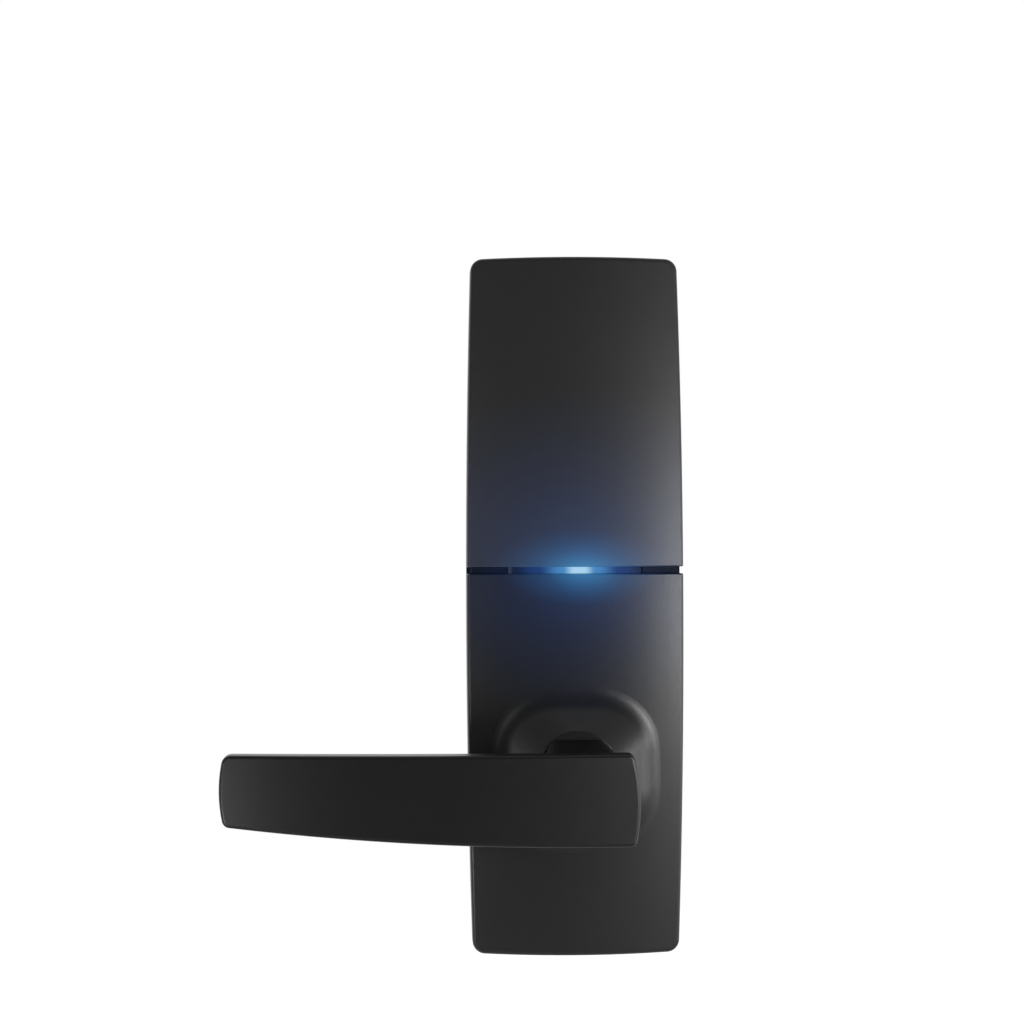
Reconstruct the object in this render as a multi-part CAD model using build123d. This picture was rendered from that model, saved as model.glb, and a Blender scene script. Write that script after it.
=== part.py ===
"""Outside half of a lever door lock: a crowned two-piece case, a lever and its clutch.

Millimetres. The origin is the lever's axis on the door face. X runs right, Y into
the door and Z up. Depths named d are measured out of the door, so y = -d.
"""

import math
import os

from build123d import *

os.makedirs("parts", exist_ok=True)

# Case outline, seen from the front
plate_width = 75.4
plate_taper = 3.6
plate_end_width = plate_width - plate_taper
plate_top = 177.5
plate_bottom = -65.0
plate_end_bow = 0.7
plate_corner = 4.4
plate_middle = (plate_top + plate_bottom) / 2

# Depths and widths that lie past everything they cut
past_front = 40.0
past_back = 30.0
past_side = 60.0

# Crowned front
crown_apex = 24.0
crown_across = 201.0
crown_along = 2440.0
front_round = 1.4
cover_wall = 2.5

# Groove between the two covers
seam_z = 68.6
seam_gap = 2.4
seam_wall = 2.0
seam_round = 0.45
fin_thick = 2.0
fin_inset = 1.6
fin_below = 5.2

# Depths of the case's layers
gasket_thick = 1.5
gasket_inset = 0.8
floor_top = 4.0
rim_top = 9.0
rim_wall = 2.3
rim_inset = 0.25

# Light bar
guide_width = 45.6
guide_thick = 2.0
guide_below = 1.1
guide_foot_low = 7.8
guide_foot_high = 8.8
guide_foot_half = 4.0
ledge_width = 3.0
fin_gap = 0.8
fin_start = guide_width / 2 + fin_gap
led_board_gap = 0.8
led_board_width = guide_width - 2 * (ledge_width + led_board_gap)
led_board_height = 9.0
led_board_thick = 1.2
led_width = 3.5
led_height = 2.8
led_thick = 1.8

# Raised collar of the lower cover
collar_half = 23.9
collar_corner = 16.2
collar_foot = 23.2
collar_top = 33.8
collar_top_half = 13.6
collar_top_corner = 13.3
collar_root = 18.0
collar_lip = 30.0
collar_lip_r = 10.6
collar_sleeve_r = 15.4
collar_foot_round = 12.0
collar_wall = 4.2
collar_top_round = 0.8

# Lever bush
bush_r = 12.0
bush_bore_r = 10.05
bush_flange_r = 14.8
bush_flange_low = 20.2
bush_flange_high = 21.5
bush_clearance = 0.03

# Lever shaft and its clutch ring
journal_r = 10.0
ring_r = 15.0
ring_bore_r = 10.1
ring_low = 6.5
ring_high = 18.0
ring_front = 20.0
spigot_r = 7.0
spigot_low = 34.2
spigot_high = 44.6
lug_reach = 19.0
lug_overlap = 2.0
lug_width = 6.0
lug_low = 8.0
lug_high = 12.5
lever_swing = 45.0

# Lever blade, seen from the front; it hangs a little low on its axis
blade_tip = -121.0
blade_end = 19.0
blade_top_tip = 8.5
blade_top_hub = 8.1
blade_tip_low = -15.4
blade_hub_low = -22.8
blade_low_x = -60.0
blade_low = -20.5
blade_end_bow_tip = 1.5
blade_end_bow_hub = 2.3
blade_hub_lean = 0.6
blade_front = 66.5
blade_thick = 10.5
blade_bow_front = 480.0
blade_bow_back = 620.0
blade_bow_x = -45.0
blade_edge = 1.2
blade_corner_top = 3.3
blade_corner_low = 2.7
blade_corner_hub = 1.9

# Lever neck, a rounded square that spreads down into the blade
neck_low = 34.4
neck_half = 10.9
neck_corner = 4.5
neck_high = 58.0
neck_left = -13.5
neck_right = 14.5
neck_top = 6.9
neck_bottom = -18.0
neck_high_corner = 5.0
neck_lead = 0.5
socket_clearance = 0.05
socket_top = 45.2
grub_r = 2.0
grub_d = 39.0
grub_length = 2.6

# Drive hub, spindle and retainers
hub_r = 10.0
hub_front = 16.5
hub_flange_r = 12.0
hub_flange_low = 4.3
hub_flange_high = 6.2
hub_journal_r = 8.5
hub_journal_fit = 0.1
hub_back = 0.1
spindle_side = 8.0
spindle_lead = 0.8
spindle_fit = 0.05
spindle_front = 15.5
spindle_reach = 40.0
cross_pin_r = 1.0
cross_pin_fit = 0.02
cross_pin_length = 22.0
circlip_r = 10.6
circlip_seat_r = 7.6
circlip_low = 0.3
circlip_high = 1.3
circlip_play = 0.05
circlip_fit = 0.05

# Clutch pin and its spring
pin_d = 11.0
pin_r = 2.0
pin_hole_r = 2.1
pin_pocket_r = 3.4
pin_pocket_floor = 12.0
pin_inner = 10.3
pin_head_r = 2.75
pin_head_low = 15.4
pin_head_top = 17.0
pin_dome = 8.0
hub_hole_r = 2.15
hub_hole_floor = 7.5
pin_spring_r = 2.45
pin_spring_wire = 0.25
pin_spring_turns = 2.5

# Clutch pusher, its rails, and the motor that drives it
pusher_lift = 4.5
pusher_arc_r = 15.35
pusher_outer_r = 20.5
pusher_half_angle = 52.0
pusher_low = 8.5
pusher_high = 13.5
stem_width = 10.0
stem_bottom = 23.5
stem_top = 36.0
screw_r = 1.5
screw_fit = 0.1
screw_bottom = 24.6
screw_top = 46.9
rail_gap = 0.1
rail_width = 3.0
rail_bottom = 28.0
rail_top = 40.0
rail_high = 13.0
motor_width = 12.0
motor_deep = 10.0
motor_corner = 2.8
motor_bottom = 46.0
motor_top = 61.0
motor_boss_r = 3.0
motor_boss = 0.8
bracket_gap = 0.1
bracket_thick = 1.2
bracket_bottom = 49.0
bracket_top = 58.0
bracket_foot = 6.0
bracket_screw_r = 1.2
bracket_screw_head_r = 2.3
bracket_screw_head = 1.3
bracket_screw_deep = 2.2

# Lever return spring
coil_r = 16.4
coil_wire = 0.7
coil_low = 14.95
coil_pitch = 1.95
coil_turns = 2
leg_bend_out = 2.2
leg_bend_in = 1.5
leg_out = 4.5
leg_in = 0.9
leg_slot = 2.2
leg_slot_deep = 4.6
leg_slot_wide = 2.6
leg_post_r = 1.8
leg_post_play = 0.15
leg_post_high = 16.6

# Stops for the lug
stop_r = 2.5
stop_pitch_r = 17.6
stop_high = 13.0
stop_play = 1.0

# Fixings through the back
post_up = 15.0
post_down = 11.5
post_z = (plate_bottom + post_up, plate_top - post_down)
post_r = 4.0
post_fit = 0.05
post_flange_r = 6.0
post_flange = 2.0
post_reach = 32.0
post_bore_r = 2.1
post_bore_deep = 24.0
cover_screw_side = 5.9
cover_screw_end = 9.5
cover_screw_seam = 9.0
cover_screw_x = plate_end_width / 2 - cover_screw_side
upper_screw_z = (seam_z + cover_screw_seam, plate_top - cover_screw_end)
lower_screw_z = (plate_bottom + cover_screw_end, seam_z - cover_screw_seam)
cover_boss_r = 3.2
cover_boss_below = 1.0
cover_screw_r = 1.5
cover_screw_fit = 0.05
small_screw_fit = 0.05
cover_screw_head_r = 2.8
cover_screw_head = 1.2
cover_screw_tip = 12.0
cable_up = 13.4
cable_z = seam_z + cable_up
cable_hole_r = 6.5
grommet_fit = 0.05
grommet_bore_r = 4.5
grommet_flange_r = 8.0
grommet_lip = 1.0
hole_play = 0.4

# Boards in the upper half
board_width = 52.0
control_up = 23.4
control_down = 19.5
control_bottom = seam_z + control_up
control_top = plate_top - control_down
control_low = 6.0
board_thick = 1.2
reader_gap = 1.0
reader_bottom = upper_screw_z[0] + cover_boss_r + reader_gap
reader_low = 14.0
pillar_edge = 4.0
pillar_end = 6.0
pillar_x = board_width / 2 - pillar_edge
pillar_z = (control_bottom + pillar_end, control_top - pillar_end)
pillar_r = 2.5
stud_r = 1.4
stud_fit = 0.05
stud_high = 9.0
board_hole_r = 1.6
board_screw_r = 1.2
board_screw_head_r = 2.4
board_screw_head = 1.2
board_screw_tip = 11.3
ferrite_thick = 0.6
ferrite_gap = 2.5
ferrite_width = 2 * (pillar_x - pillar_r - ferrite_gap)
ferrite_height = 56.0
chip_high = 1.4
processor_side = 10.0
processor_x = -9.0
processor_up = 30.0
memory_side = 7.0
memory_x = 11.0
memory_up = 27.0
radio_width = 12.0
radio_height = 6.0
radio_x = 9.0
radio_down = 18.0
buzzer_r = 4.5
buzzer_port_r = 0.8
buzzer_port_deep = 0.6
buzzer_side = 12.0
buzzer_down = 15.0
buzzer_high = 3.0
connector_width = 16.0
connector_height = 6.0
connector_high = 5.0


# Building blocks
def slab(shape, low, high):
    return extrude(Plane.XZ.offset(low) * shape, high - low)


def rod(x, z, r, low, high):
    return slab(Pos(x, z) * Circle(r), low, high)


def block(x, z, width, height, low, high):
    return slab(Pos(x, z) * Rectangle(width, height), low, high)


def upright(x, d, r, bottom, top):
    return extrude(Plane.XY.offset(bottom) * Pos(x, -d) * Circle(r), top - bottom)


def turned(points):
    # a profile of (radius, depth) points turned about the lever's axis
    return revolve(make_face(Polyline([(r, -d) for r, d in points], close=True)), axis=Axis.Y)


def polar(r, degrees):
    turn = math.radians(degrees)
    return (r * math.cos(turn), r * math.sin(turn))


def save(shape, node):
    export_step(shape, f"parts/{node}.step")


# Case
def plate_outline(inset):
    half = plate_width / 2 - inset
    end = plate_end_width / 2 - inset
    top = plate_top - inset
    bottom = plate_bottom + inset
    high = top - plate_end_bow
    low = bottom + plate_end_bow
    edges = [
        ThreePointArc((end, low), (half, plate_middle), (end, high)),
        ThreePointArc((end, high), (0, top), (-end, high)),
        ThreePointArc((-end, high), (-half, plate_middle), (-end, low)),
        ThreePointArc((-end, low), (0, bottom), (end, low)),
    ]
    face = make_face(edges)
    return fillet(face.vertices(), max(plate_corner - inset, 1.0))


def crown_blank(below):
    # everything behind the crowned front, which curves across and along
    reach = past_side
    apex = crown_apex - below
    bow = crown_across - below
    drop = bow - math.sqrt(bow**2 - reach**2)
    arc = ThreePointArc((-reach, drop - apex), (0, -apex), (reach, drop - apex))
    rest = Polyline((reach, drop - apex), (reach, past_back), (-reach, past_back), (-reach, drop - apex))
    profile = Pos(0, 0, plate_middle) * make_face([arc, rest])
    axis = Axis((0, crown_along - crown_apex, plate_middle), (1, 0, 0))
    return revolve(profile.rotate(axis, -4), axis=axis, revolution_arc=8)


def case_blank():
    blank = slab(plate_outline(0), rim_top, past_front) & crown_blank(0)
    front = blank.faces().sort_by(Axis.Y)[0]
    return fillet(front.edges(), front_round)


def case_hollow():
    return slab(plate_outline(cover_wall), rim_top - 1, past_front) & crown_blank(cover_wall)


def span(bottom, top):
    # a box across the case between two heights
    return Pos(0, 0, (bottom + top) / 2) * Box(2 * past_side, 2 * past_front, top - bottom)


def cover_bosses(heights):
    bosses = []
    for x in (-cover_screw_x, cover_screw_x):
        for z in heights:
            bosses.append(rod(x, z, cover_boss_r, floor_top, past_front) & crown_blank(cover_boss_below))
    return bosses


def cover_boss_holes(heights):
    holes = []
    for x in (-cover_screw_x, cover_screw_x):
        for z in heights:
            r = cover_screw_r + cover_screw_fit
            holes.append(rod(x, z, r, floor_top - 1, cover_screw_tip + 1))
    return holes


def soften_seam(cover, height):
    # rounds the front edge of the cover's groove wall
    wall = cover.faces().filter_by_position(Axis.Z, height - 0.01, height + 0.01)[0]
    edges = [edge for edge in wall.edges() if edge.center().Y < -rim_top - 0.1]
    return fillet(edges, seam_round)


def upper_cover(blank, hollow):
    low = seam_z + seam_gap / 2
    cover = soften_seam(blank & span(low, plate_top + 10), low)
    cover -= hollow & span(low + seam_wall, plate_top + 10)
    cover += cover_bosses(upper_screw_z)
    return cover - cover_boss_holes(upper_screw_z)


def collar_half_at(d):
    # half of the collar's width at a depth
    slope = (collar_half - collar_top_half) / (collar_top - collar_foot)
    return collar_top_half + slope * (collar_top - d)


def collar_shape(grow, low, high):
    # a cone whose foot is a rounded square and whose top is nearly round
    easing = (collar_corner - collar_top_corner) / (collar_top - collar_foot)
    faces = []
    for d in (low, high):
        half = collar_half_at(d) + grow
        corner = min(collar_top_corner + easing * (collar_top - d) + grow, half - 0.2)
        faces.append(Plane.XZ.offset(d) * RectangleRounded(2 * half, 2 * half, corner))
    return loft(faces, ruled=True)


def collar_foot_edges(cover):
    # the line where the collar rises out of the crowned front
    widest = collar_half_at(collar_root)
    found = []
    for edge in cover.edges():
        low, high = edge.bounding_box().min, edge.bounding_box().max
        near = max(-low.X, high.X, -low.Z, high.Z) < widest
        if near and -edge.center().Y < crown_apex:
            found.append(edge)
    return found


def lower_cover(blank, hollow):
    high = seam_z - seam_gap / 2
    cover = soften_seam(blank & span(plate_bottom - 10, high), high)
    cover += collar_shape(0, collar_root, collar_top)
    rims = cover.edges().filter_by_position(Axis.Y, -collar_top - 0.01, -collar_top + 0.01)
    cover = fillet(rims, collar_top_round)
    cover = fillet(collar_foot_edges(cover), collar_foot_round)
    cover -= hollow & span(plate_bottom - 10, high - seam_wall)
    cavity = collar_shape(-collar_wall, collar_root - 1, collar_lip - 1)
    cover -= cavity
    sleeve = rod(0, 0, collar_sleeve_r, bush_flange_high, collar_lip)
    cover += sleeve
    cover += cover_bosses(lower_screw_z)
    cover -= cover_boss_holes(lower_screw_z)
    cover -= rod(0, 0, bush_r + bush_clearance, collar_root - 2, collar_lip)
    return cover - rod(0, 0, collar_lip_r, collar_lip - 1, collar_top + 1)


def fins():
    # the two dark webs that close the groove beside the light bar
    parts = []
    outline = plate_outline(fin_inset)
    keep = slab(outline, floor_top, past_front) & crown_blank(fin_below)
    for side in (-1, 1):
        width = past_side - fin_start
        fin = block(side * (fin_start + width / 2), seam_z, width, fin_thick, floor_top, past_front)
        parts.append(fin & keep)
    return parts


def stop_angles():
    lug = math.degrees(math.asin(lug_width / 2 / stop_pitch_r))
    post = math.degrees(math.asin(stop_r / stop_pitch_r))
    away = lug + post + stop_play
    return (-90 - away, -90 + lever_swing + away)


def base_housing():
    base = slab(plate_outline(rim_inset), gasket_thick, rim_top)
    base -= slab(plate_outline(rim_inset + rim_wall), floor_top, rim_top + 1)
    base += fins()
    for side in (-1, 1):
        x = side * (guide_width / 2 - ledge_width / 2)
        base += block(x, seam_z, ledge_width, 2 * guide_foot_half, floor_top, guide_foot_low)
        x = side * (stem_width / 2 + rail_gap + rail_width / 2)
        middle = (rail_bottom + rail_top) / 2
        base += block(x, middle, rail_width, rail_top - rail_bottom, floor_top, rail_high)
        z = leg_bend_out + side * (coil_wire + leg_post_play + leg_post_r)
        base += rod(-coil_r - leg_bend_out - leg_out + 1.5, z, leg_post_r, floor_top, leg_post_high)
    for angle in stop_angles():
        x, z = polar(stop_pitch_r, angle)
        base += rod(x, z, stop_r, floor_top, stop_high)
    base -= rod(0, 0, hub_journal_r + hub_journal_fit, 0, floor_top + 1)
    for z in post_z:
        base -= rod(0, z, post_r + post_fit, 0, floor_top + 1)
    base -= rod(0, cable_z, cable_hole_r, 0, floor_top + 1)
    for x, z in screw_places():
        base -= rod(x, z, cover_screw_r + hole_play / 2, 0, floor_top + 1)
    for x, z in bracket_screw_places():
        base -= rod(x, z, bracket_screw_r + small_screw_fit, floor_top - bracket_screw_deep, floor_top + 1)
    return base


def screw_places():
    return [(x, z) for x in (-cover_screw_x, cover_screw_x) for z in upper_screw_z + lower_screw_z]


def door_gasket():
    sheet = slab(plate_outline(gasket_inset), 0, gasket_thick)
    sheet -= rod(0, 0, circlip_r + hole_play, -1, 2)
    for z in post_z:
        sheet -= rod(0, z, post_r + hole_play, -1, 2)
    sheet -= rod(0, cable_z, grommet_flange_r + hole_play, -1, 2)
    for x, z in screw_places():
        sheet -= rod(x, z, cover_screw_head_r + hole_play, -1, 2)
    return sheet


def cover_screws(heights):
    screws = []
    for x in (-cover_screw_x, cover_screw_x):
        for z in heights:
            head = rod(x, z, cover_screw_head_r, gasket_thick - cover_screw_head, gasket_thick)
            screws.append(head + rod(x, z, cover_screw_r, gasket_thick, cover_screw_tip))
    return Compound(children=screws)


def mounting_posts():
    posts = []
    for z in post_z:
        post = rod(0, z, post_r, -post_reach, floor_top)
        post += rod(0, z, post_flange_r, floor_top, floor_top + post_flange)
        post -= rod(0, z, post_bore_r, -post_reach - 1, -post_reach + post_bore_deep)
        posts.append(post)
    return Compound(children=posts)


def cable_grommet():
    ring = rod(0, cable_z, cable_hole_r - grommet_fit, gasket_thick, floor_top)
    ring += rod(0, cable_z, grommet_flange_r, floor_top, floor_top + grommet_lip)
    ring += rod(0, cable_z, grommet_flange_r, gasket_thick - grommet_lip, gasket_thick)
    return ring - rod(0, cable_z, grommet_bore_r, -1, floor_top + 2)


# Light bar
def light_guide():
    blade = block(0, seam_z, guide_width, guide_thick, guide_foot_high, past_front)
    blade &= crown_blank(guide_below)
    foot = 2 * guide_foot_half
    return blade + block(0, seam_z, guide_width, foot, guide_foot_low, guide_foot_high)


def led_board():
    high = floor_top + led_board_thick
    return block(0, seam_z, led_board_width, led_board_height, floor_top, high)


def status_led():
    low = floor_top + led_board_thick
    return block(0, seam_z, led_width, led_height, low, low + led_thick)


# Boards
def pillar_places():
    return [(x, z) for x in (-pillar_x, pillar_x) for z in pillar_z]


def board(bottom, top, low):
    middle = (bottom + top) / 2
    sheet = block(0, middle, board_width, top - bottom, low, low + board_thick)
    for x, z in pillar_places():
        sheet -= rod(x, z, board_hole_r, low - 1, low + 3)
    return sheet


def board_standoffs():
    pieces = []
    for x, z in pillar_places():
        foot = rod(x, z, pillar_r, floor_top, control_low)
        pieces.append(foot + rod(x, z, stud_r, control_low, stud_high))
    return Compound(children=pieces)


def board_pillars():
    pieces = []
    low = control_low + board_thick
    for x, z in pillar_places():
        pillar = rod(x, z, pillar_r, low, reader_low)
        pillar -= rod(x, z, stud_r + stud_fit, low - 1, stud_high + 0.4)
        pillar -= rod(x, z, board_screw_r + small_screw_fit, board_screw_tip - 0.4, reader_low + 1)
        pieces.append(pillar)
    return Compound(children=pieces)


def board_screws():
    pieces = []
    seat = reader_low + board_thick
    for x, z in pillar_places():
        screw = rod(x, z, board_screw_r, board_screw_tip, seat)
        pieces.append(screw + rod(x, z, board_screw_head_r, seat, seat + board_screw_head))
    return Compound(children=pieces)


def ferrite_sheet():
    middle = (reader_bottom + control_top) / 2
    low = reader_low - ferrite_thick
    return block(0, middle, ferrite_width, ferrite_height, low, reader_low)


def board_chips():
    low = control_low + board_thick
    high = low + chip_high
    processor_z = control_bottom + processor_up
    memory_z = control_bottom + memory_up
    radio_z = control_top - radio_down
    chips = [
        block(processor_x, processor_z, processor_side, processor_side, low, high),
        block(memory_x, memory_z, memory_side, memory_side, low, high),
        block(radio_x, radio_z, radio_width, radio_height, low, high),
    ]
    return Compound(children=chips)


def buzzer():
    low = control_low + board_thick
    high = low + buzzer_high
    x = buzzer_side - board_width / 2
    z = control_top - buzzer_down
    can = rod(x, z, buzzer_r, low, high)
    return can - rod(x, z, buzzer_port_r, high - buzzer_port_deep, high + 1)


def board_connector():
    low = control_low + board_thick
    z = control_bottom + connector_height / 2 + 1
    body = block(0, z, connector_width, connector_height, low, low + connector_high)
    mouth = block(0, z - 1.5, connector_width - 2, connector_height - 1, low + 1, low + connector_high - 1)
    return body - mouth


# Lever
def lever_bush():
    ring = rod(0, 0, bush_r, bush_flange_low, collar_lip - 0.1)
    ring += rod(0, 0, bush_flange_r, bush_flange_low, bush_flange_high)
    return ring - rod(0, 0, bush_bore_r, bush_flange_low - 1, collar_lip + 1)


def lever_shaft():
    shaft = rod(0, 0, ring_r, ring_low, ring_front)
    shaft += rod(0, 0, journal_r, ring_front, spigot_low)
    shaft += rod(0, 0, spigot_r, spigot_low, spigot_high)
    lug_root = ring_bore_r + lug_overlap
    middle = -(lug_root + lug_reach) / 2
    shaft += block(0, middle, lug_width, lug_reach - lug_root, lug_low, lug_high)
    shaft -= rod(0, 0, ring_bore_r, ring_low - 1, ring_high)
    shaft -= upright(0, pin_d, pin_hole_r, ring_bore_r - 3, pin_pocket_floor)
    shaft -= upright(0, pin_d, pin_pocket_r, pin_pocket_floor, ring_r + 1)
    end = coil_low + coil_pitch * coil_turns
    slot = Pos(-ring_r, -end, -leg_bend_in) * Box(leg_slot_deep, leg_slot_wide, leg_slot)
    return shaft - slot


def blade_outline():
    top_tip = (blade_tip + blade_end_bow_tip, blade_top_tip)
    top_hub = (blade_end - blade_end_bow_hub, blade_top_hub)
    low_hub = (blade_end - blade_end_bow_hub + blade_hub_lean, blade_hub_low)
    low_tip = (blade_tip + blade_end_bow_tip, blade_tip_low)
    middle_tip = (blade_tip, (blade_top_tip + blade_tip_low) / 2)
    middle_hub = (blade_end, (blade_top_hub + blade_hub_low) / 2)
    face = make_face([
        Line(top_tip, top_hub),
        ThreePointArc(top_hub, middle_hub, low_hub),
        ThreePointArc(low_hub, (blade_low_x, blade_low), low_tip),
        ThreePointArc(low_tip, middle_tip, top_tip),
    ])
    corners = (
        (top_tip, blade_corner_top),
        (low_tip, blade_corner_low),
        (top_hub, blade_corner_hub),
        (low_hub, blade_corner_hub),
    )
    for place, radius in corners:
        found = [v for v in face.vertices() if math.dist((v.X, v.Y), place) < 0.1]
        face = fillet(found, radius)
    return face


def bow(radius, apex, x):
    return apex - radius + math.sqrt(radius**2 - (x - blade_bow_x) ** 2)


def blade():
    back = blade_front - blade_thick
    left = blade_tip - 5
    right = blade_end + 5
    front_arc = ThreePointArc(
        (left, -bow(blade_bow_front, blade_front, left)),
        (blade_bow_x, -blade_front),
        (right, -bow(blade_bow_front, blade_front, right)),
    )
    back_arc = ThreePointArc(
        (left, -bow(blade_bow_back, back, left)),
        (blade_bow_x, -back),
        (right, -bow(blade_bow_back, back, right)),
    )
    sides = [Line(front_arc @ 0, back_arc @ 0), Line(front_arc @ 1, back_arc @ 1)]
    plan = make_face([front_arc, back_arc] + sides)
    body = extrude(plan, past_side, both=True) & slab(blade_outline(), neck_low, 2 * past_front)
    front = body.faces().sort_by(Axis.Y)[0]
    rear = body.faces().sort_by(Axis.Y)[-1]
    return fillet(front.edges() + rear.edges(), blade_edge)


def neck():
    square = RectangleRounded(2 * neck_half, 2 * neck_half, neck_corner)
    wide = neck_right - neck_left
    tall = neck_top - neck_bottom
    middle = Pos((neck_left + neck_right) / 2, (neck_top + neck_bottom) / 2)
    spread = middle * RectangleRounded(wide, tall, neck_high_corner)
    stem = loft([Plane.XZ.offset(neck_low) * square, Plane.XZ.offset(neck_high) * spread])
    foot = stem.faces().sort_by(Axis.Y)[-1]
    return chamfer(foot.edges(), neck_lead)


def lever_handle():
    handle = blade() + neck()
    handle -= rod(0, 0, spigot_r + socket_clearance, neck_low - 1, socket_top)
    return handle - upright(0, grub_d, grub_r + small_screw_fit, -neck_half - 6, -spigot_r + 1)


def grub_screw():
    return upright(0, grub_d, grub_r, -spigot_r - 0.02 - grub_length, -spigot_r - 0.02)


# Drive side of the clutch
def drive_hub():
    hub = turned([
        (0, hub_back),
        (hub_journal_r, hub_back),
        (hub_journal_r, hub_flange_low),
        (hub_flange_r, hub_flange_low),
        (hub_flange_r, hub_flange_high),
        (hub_r, hub_flange_high),
        (hub_r, hub_front),
        (0, hub_front),
    ])
    side = spindle_side + 2 * spindle_fit
    hub -= block(0, 0, side, side, -1, hub_front + 1)
    groove = rod(0, 0, hub_journal_r + 1, circlip_low - circlip_play, circlip_high + circlip_play)
    groove -= rod(0, 0, circlip_seat_r, 0, 2)
    hub -= groove
    hub -= upright(0, pin_d, hub_hole_r, hub_hole_floor, hub_r + 1)
    middle = (hub_flange_low + hub_flange_high) / 2
    return hub - upright(0, middle, cross_pin_r + cross_pin_fit, -past_back, past_back)


def spindle():
    bar = block(0, 0, spindle_side, spindle_side, -spindle_reach, spindle_front)
    tip = bar.faces().sort_by(Axis.Y)[-1]
    bar = chamfer(tip.edges(), spindle_lead)
    middle = (hub_flange_low + hub_flange_high) / 2
    return bar - upright(0, middle, cross_pin_r + cross_pin_fit, -past_back, past_back)


def spindle_pin():
    middle = (hub_flange_low + hub_flange_high) / 2
    return upright(0, middle, cross_pin_r, -cross_pin_length / 2, cross_pin_length / 2)


def hub_circlip():
    ring = rod(0, 0, circlip_r, circlip_low, circlip_high)
    ring -= rod(0, 0, circlip_seat_r + circlip_fit, 0, 2)
    return ring - block(0, -circlip_r, 5, 2 * circlip_r - 8, 0, 2)


# Clutch
def clutch_pin():
    pin = upright(0, pin_d, pin_r, pin_inner, pin_head_low)
    head = upright(0, pin_d, pin_head_r, pin_head_low, pin_head_top + 1)
    head &= Pos(0, -pin_d, pin_head_top - pin_dome) * Sphere(pin_dome)
    return pin + head


def clutch_pusher():
    ring = Circle(pusher_outer_r) - Circle(pusher_arc_r)
    reach = 2 * pusher_outer_r
    wedge = make_face(Polyline(
        (0, 0),
        polar(reach, 90 - pusher_half_angle),
        (0, reach),
        polar(reach, 90 + pusher_half_angle),
        close=True,
    ))
    yoke = Pos(0, 0, pusher_lift) * slab(ring & wedge, pusher_low, pusher_high)
    middle = (stem_bottom + stem_top) / 2
    stem = block(0, middle, stem_width, stem_top - stem_bottom, pusher_low, pusher_high)
    return yoke + stem - upright(0, pin_d, screw_r + screw_fit, screw_bottom - 0.5, stem_top + 1)


def motor_screw():
    return upright(0, pin_d, screw_r, screw_bottom, screw_top)


def motor_body():
    section = Plane.XY.offset(motor_bottom) * Pos(0, -pin_d)
    can = extrude(section * RectangleRounded(motor_width, motor_deep, motor_corner), motor_top - motor_bottom)
    can += upright(0, pin_d, motor_boss_r, motor_bottom - motor_boss, motor_bottom)
    return can - upright(0, pin_d, screw_r + screw_fit, motor_bottom - 2, screw_top + 0.2)


def bracket_screw_places():
    x = motor_width / 2 + bracket_gap + bracket_thick + bracket_foot / 2
    z = (bracket_bottom + bracket_top) / 2
    return [(-x, z), (x, z)]


def motor_bracket():
    half = motor_width / 2 + bracket_gap
    high = pin_d + motor_deep / 2 + bracket_gap
    middle = (bracket_bottom + bracket_top) / 2
    tall = bracket_top - bracket_bottom
    outer = 2 * (half + bracket_thick)
    strap = block(0, middle, outer, tall, floor_top, high + bracket_thick)
    strap += block(0, middle, outer + 2 * bracket_foot, tall, floor_top, floor_top + bracket_thick)
    strap -= block(0, middle, 2 * half, tall + 2, floor_top - 1, high)
    for x, z in bracket_screw_places():
        strap -= rod(x, z, bracket_screw_r + 0.1, floor_top - 1, floor_top + 3)
    return strap


def bracket_screws():
    pieces = []
    seat = floor_top + bracket_thick
    for x, z in bracket_screw_places():
        screw = rod(x, z, bracket_screw_r, floor_top - bracket_screw_deep + 0.2, seat)
        head = rod(x, z, bracket_screw_head_r, seat, seat + bracket_screw_head)
        pieces.append(screw + head)
    return Compound(children=pieces)


# Springs
def two_arcs(start, leave, finish, arrive):
    # two arcs that join smoothly and follow one stretch of a helix
    reach = finish - start
    both = leave + arrive
    bend = 2 * (1 - leave.dot(arrive))
    along = reach.dot(both)
    step = (math.sqrt(along**2 + bend * reach.dot(reach)) - along) / bend
    middle = (start + finish + (leave - arrive) * step) * 0.5
    heading = (finish - arrive * step) - (start + leave * step)
    return [
        TangentArc(start, middle, tangent=leave),
        TangentArc(middle, finish, tangent=heading.normalized()),
    ]


def coil(place, turns):
    # place gives a point and its heading at a number of turns
    edges = []
    steps = round(turns * 4)
    for i in range(steps):
        start, leave = place(turns * i / steps)
        finish, arrive = place(turns * (i + 1) / steps)
        edges += two_arcs(start, leave, finish, arrive)
    return edges


def least_gap(path, wire_r):
    count = 400
    points = [path.position_at(i / count) for i in range(count + 1)]
    spacing = path.length / count
    skip = math.ceil(6 * wire_r / spacing)
    nearest = min(
        (points[i] - points[j]).length for i in range(count + 1) for j in range(i + skip, count + 1)
    )
    return nearest - 2 * wire_r


def wire_tube(edges, wire_r, node):
    path = Wire(edges)
    print(node, "least gap to itself, mm:", round(least_gap(path, wire_r), 2))
    section = Plane(origin=path.position_at(0), z_dir=path.tangent_at(0)) * Circle(wire_r)
    return sweep(section, path=path)


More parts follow.
